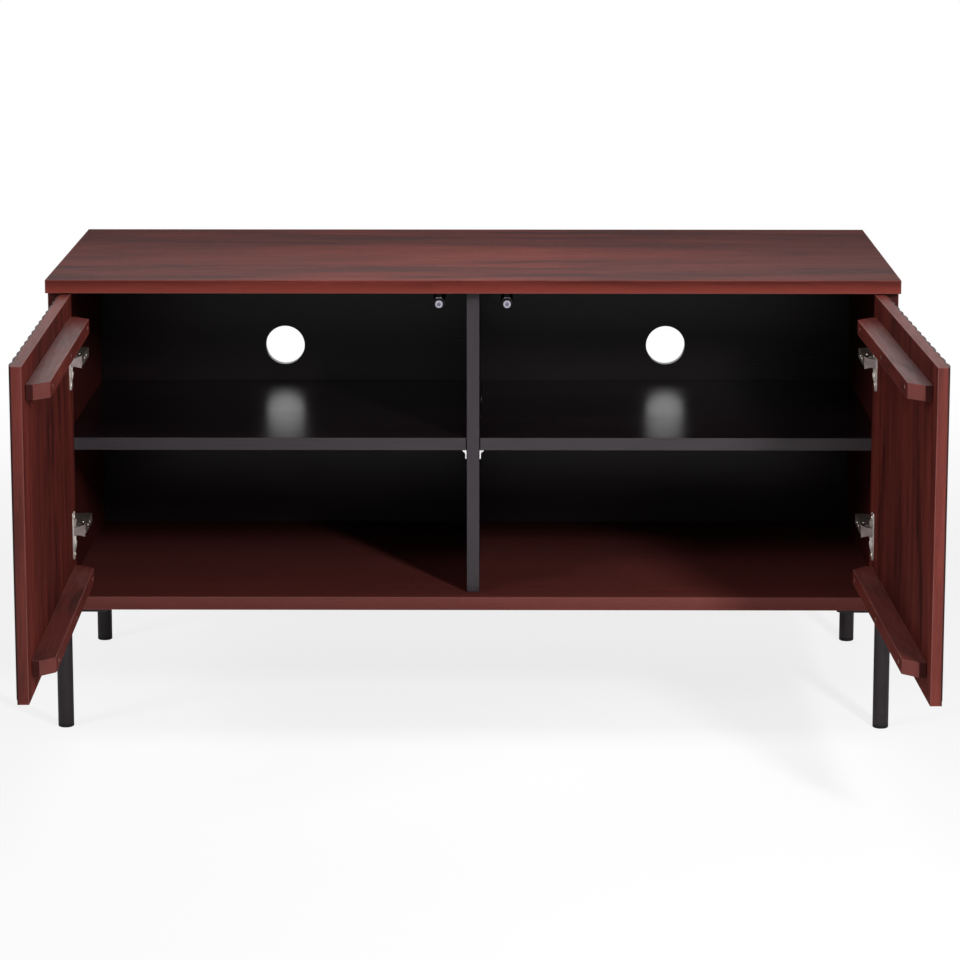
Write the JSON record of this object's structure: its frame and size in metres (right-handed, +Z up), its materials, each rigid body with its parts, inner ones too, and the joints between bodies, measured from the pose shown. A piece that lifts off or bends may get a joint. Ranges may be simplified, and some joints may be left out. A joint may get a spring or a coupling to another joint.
{
  "type": "low two-door media cabinet",
  "caption": "Low television cabinet with reeded doors on cup hinges, shelved compartments with cable holes, push latches and round metal legs.",
  "frame": {"origin": "middle of the box round the cabinet with its doors open as stored, at floor level", "axes": "+X to the right across the front, +Y to the back, +Z up"},
  "size_m": [1, 0.9284, 0.542],
  "materials": {
    "red_wood": "dark red stained veneer, satin",
    "dark_board": "black laminate, satin",
    "black_metal": "black powder coat",
    "nickel": "nickel plated",
    "black_plastic": "moulded",
    "grey_tip": "moulded grey",
    "white_plastic": "moulded white"
  },
  "bodies": {
    "carcass": {"back_panel": "dark_board", "bottom_panel": "red_wood", "centre_divider": "dark_board", "hinge_arm_left_lower": "nickel", "hinge_arm_left_upper": "nickel", "hinge_arm_right_lower": "nickel", "hinge_arm_right_upper": "nickel", "hinge_plate_left_lower": "nickel", "hinge_plate_left_upper": "nickel", "hinge_plate_right_lower": "nickel", "hinge_plate_right_upper": "nickel", "latch_housing_left": "black_plastic", "latch_housing_right": "black_plastic", "leg_back_left": "black_metal", "leg_back_right": "black_metal", "leg_front_left": "black_metal", "leg_front_right": "black_metal", "leg_glide_back_left": "black_plastic", "leg_glide_back_right": "black_plastic", "leg_glide_front_left": "black_plastic", "leg_glide_front_right": "black_plastic", "leg_plate_back_left": "black_metal", "leg_plate_back_right": "black_metal", "leg_plate_front_left": "black_metal", "leg_plate_front_right": "black_metal", "shelf_left": "dark_board", "shelf_right": "dark_board", "shelf_support_left_inner_back": "white_plastic", "shelf_support_left_inner_front": "white_plastic", "shelf_support_left_outer_back": "white_plastic", "shelf_support_left_outer_front": "white_plastic", "shelf_support_right_inner_back": "white_plastic", "shelf_support_right_inner_front": "white_plastic", "shelf_support_right_outer_back": "white_plastic", "shelf_support_right_outer_front": "white_plastic", "side_panel_left": "red_wood", "side_panel_right": "red_wood", "top_panel": "red_wood"},
    "left_hinge_links": {"hinge_link_left_lower": "nickel", "hinge_link_left_upper": "nickel"},
    "left_door": {"door_left": "red_wood", "door_batten_left_lower": "red_wood", "door_batten_left_upper": "red_wood", "hinge_cup_left_lower": "nickel", "hinge_cup_left_upper": "nickel"},
    "left_latch_plunger": {"latch_plunger_left": "grey_tip"},
    "right_hinge_links": {"hinge_link_right_lower": "nickel", "hinge_link_right_upper": "nickel"},
    "right_door": {"door_right": "red_wood", "door_batten_right_lower": "red_wood", "door_batten_right_upper": "red_wood", "hinge_cup_right_lower": "nickel", "hinge_cup_right_upper": "nickel"},
    "right_latch_plunger": {"latch_plunger_right": "grey_tip"}
  },
  "joints": [
    {"name": "left_link_swing", "type": "hinge", "parent": "carcass", "child": "left_hinge_links", "pos_m": [-0.464, 0.04416, 0.3425], "axis": [0, 0, -1], "range_deg": [-2.41, 35.61]},
    {"name": "left_door_swing", "type": "hinge", "parent": "left_hinge_links", "child": "left_door", "pos_m": [-0.47547, 0.02118, 0.3425], "axis": [0, 0, -1], "range_deg": [-124.6, 8.4]},
    {"name": "right_link_swing", "type": "hinge", "parent": "carcass", "child": "right_hinge_links", "pos_m": [0.464, 0.04416, 0.3425], "axis": [0, 0, 1], "range_deg": [-1.41, 36.61]},
    {"name": "right_door_swing", "type": "hinge", "parent": "right_hinge_links", "child": "right_door", "pos_m": [0.47507, 0.02099, 0.3425], "axis": [0, 0, 1], "range_deg": [-128.1, 4.9]},
    {"name": "left_latch_push", "type": "slide", "parent": "carcass", "child": "left_latch_plunger", "axis": [0, 1, 0], "range_m": [0, 0.003], "stiffness_N_per_m": 300, "springref_m": -0.002},
    {"name": "right_latch_push", "type": "slide", "parent": "carcass", "child": "right_latch_plunger", "axis": [0, 1, 0], "range_m": [0, 0.003], "stiffness_N_per_m": 300, "springref_m": -0.002}
  ],
  "couplings": [
    {"joint": "left_link_swing", "follows": "left_door_swing", "ratio": -0.28571},
    {"joint": "right_link_swing", "follows": "right_door_swing", "ratio": -0.28571}
  ]
}
